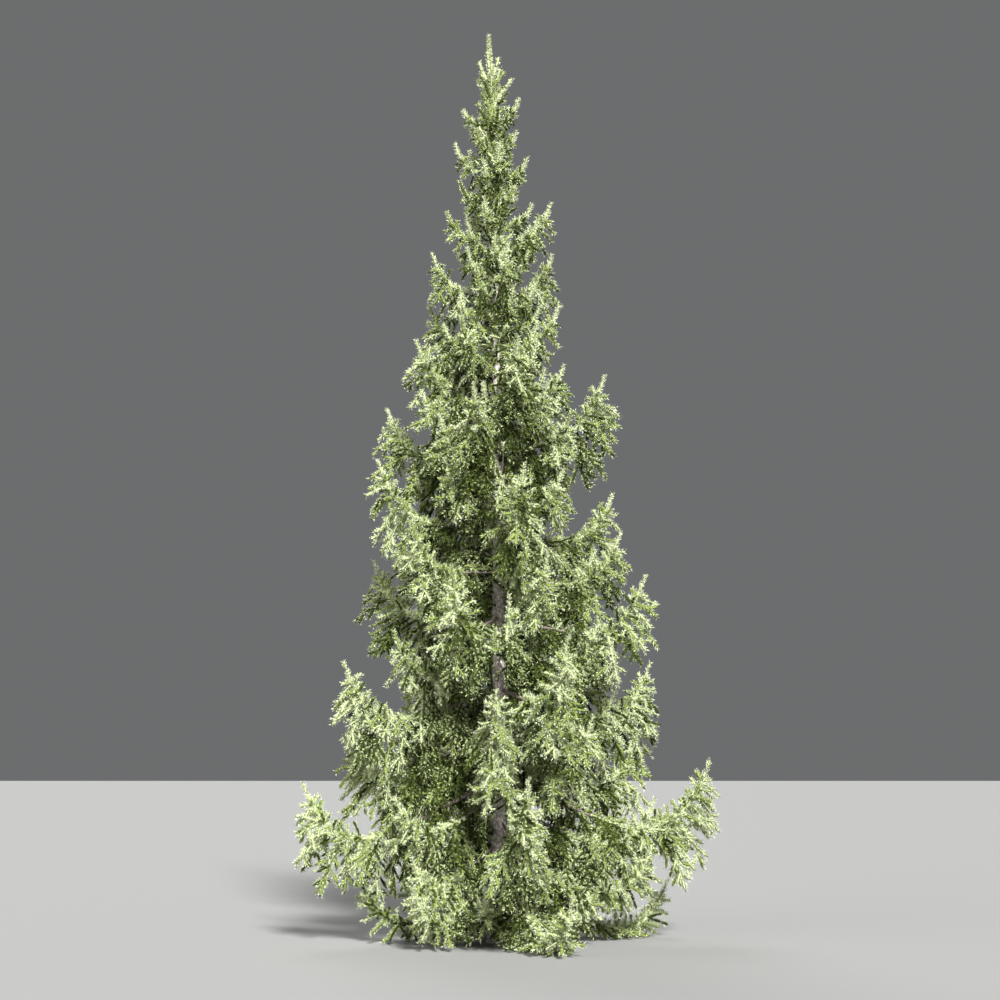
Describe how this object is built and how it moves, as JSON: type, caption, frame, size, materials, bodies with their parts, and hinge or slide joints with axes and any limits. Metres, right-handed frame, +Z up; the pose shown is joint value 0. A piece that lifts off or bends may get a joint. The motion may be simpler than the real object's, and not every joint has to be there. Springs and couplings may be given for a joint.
{
  "type": "spruce tree",
  "caption": "Young spruce rooted in level ground: a tapering flared trunk, whorls of boughs with upturned tips, hanging sprays of needles and an upright leader.",
  "frame": {"origin": "middle of the trunk's flat cut at ground level", "axes": "+Z up along the trunk, +X to the side of the longest bough, -Y to the front"},
  "size_m": [4.2199, 3.8041, 9.8146],
  "materials": {
    "bark": "rough scaly bark, grey with a pink tinge",
    "needles": "matt grey-green to yellow-green needles"
  },
  "bodies": {
    "root": {"trunk": "bark", "bough_1_1": "bark", "bough_1_2": "bark", "bough_1_3": "bark", "bough_1_4": "bark", "bough_2_1": "bark", "bough_2_2": "bark", "bough_2_3": "bark", "bough_2_4": "bark", "bough_3_1": "bark", "bough_3_2": "bark", "bough_3_3": "bark", "bough_3_4": "bark", "bough_4_1": "bark", "bough_4_2": "bark", "bough_4_3": "bark", "bough_4_4": "bark", "foliage_1_1": "needles", "foliage_1_2": "needles", "foliage_1_3": "needles", "foliage_1_4": "needles", "foliage_2_1": "needles", "foliage_2_2": "needles", "foliage_2_3": "needles", "foliage_2_4": "needles", "foliage_3_1": "needles", "foliage_3_2": "needles", "foliage_3_3": "needles", "foliage_3_4": "needles", "foliage_4_1": "needles", "foliage_4_2": "needles", "foliage_4_3": "needles", "foliage_4_4": "needles", "foliage_5_1": "needles", "foliage_5_2": "needles", "foliage_5_3": "needles", "foliage_5_4": "needles", "foliage_6_1": "needles", "foliage_6_2": "needles", "foliage_6_3": "needles", "foliage_6_4": "needles", "foliage_7_1": "needles", "foliage_7_2": "needles", "foliage_7_3": "needles", "foliage_8_1": "needles", "foliage_8_2": "needles", "foliage_8_3": "needles", "foliage_9_1": "needles", "foliage_9_2": "needles", "foliage_9_3": "needles", "foliage_10_1": "needles", "foliage_10_2": "needles", "foliage_10_3": "needles", "foliage_11_1": "needles", "foliage_11_2": "needles", "foliage_11_3": "needles", "foliage_12_1": "needles", "foliage_12_2": "needles", "foliage_12_3": "needles", "foliage_leader": "needles"}
  },
  "joints": []
}
